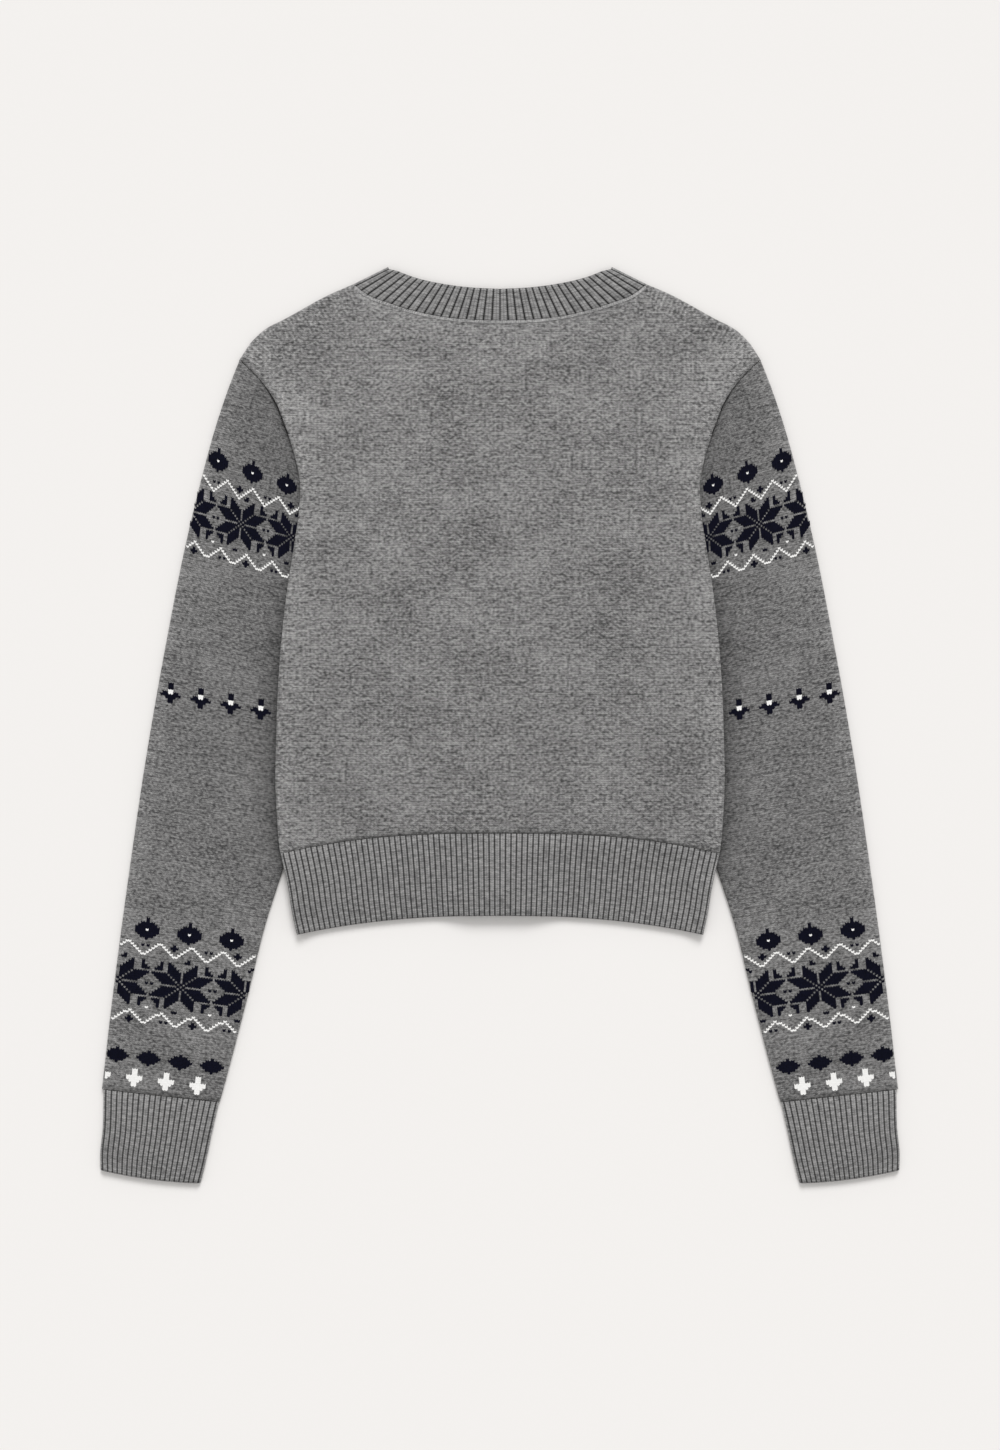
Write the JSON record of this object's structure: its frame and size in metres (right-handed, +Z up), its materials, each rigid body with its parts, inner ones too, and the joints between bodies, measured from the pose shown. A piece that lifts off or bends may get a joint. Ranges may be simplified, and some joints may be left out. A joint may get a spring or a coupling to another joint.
{
  "type": "cropped cardigan",
  "caption": "Cropped knitted cardigan laid face down, with long sleeves, ribbed neckband, hem and cuffs, and a buttoned front underneath.",
  "frame": {"origin": "middle of the base, where the garment lies on its surface", "axes": "+X towards the wearer's right sleeve, +Y from hem to neck, +Z up from the surface, out of the garment's back"},
  "size_m": [0.5746, 0.659, 0.0092],
  "materials": {
    "knit": "mid-grey heather wool stockinette, soft and matte, with navy and off-white colourwork on the sleeves",
    "rib": "mid-grey heather wool ribbing, matte",
    "button": "dark navy four-hole plastic, satin"
  },
  "bodies": {
    "root": {"back": "knit", "front_left": "knit", "front_right": "knit", "sleeve_left": "knit", "sleeve_right": "knit", "cuff_left": "rib", "cuff_right": "rib", "hem_rib_back": "rib", "hem_rib_front_left": "rib", "hem_rib_front_right": "rib", "neckband": "rib", "button_band": "rib", "buttonhole_band": "rib", "button_1": "button", "button_2": "button", "button_3": "button", "button_4": "button", "button_5": "button", "button_6": "button", "button_7": "button"}
  },
  "joints": []
}
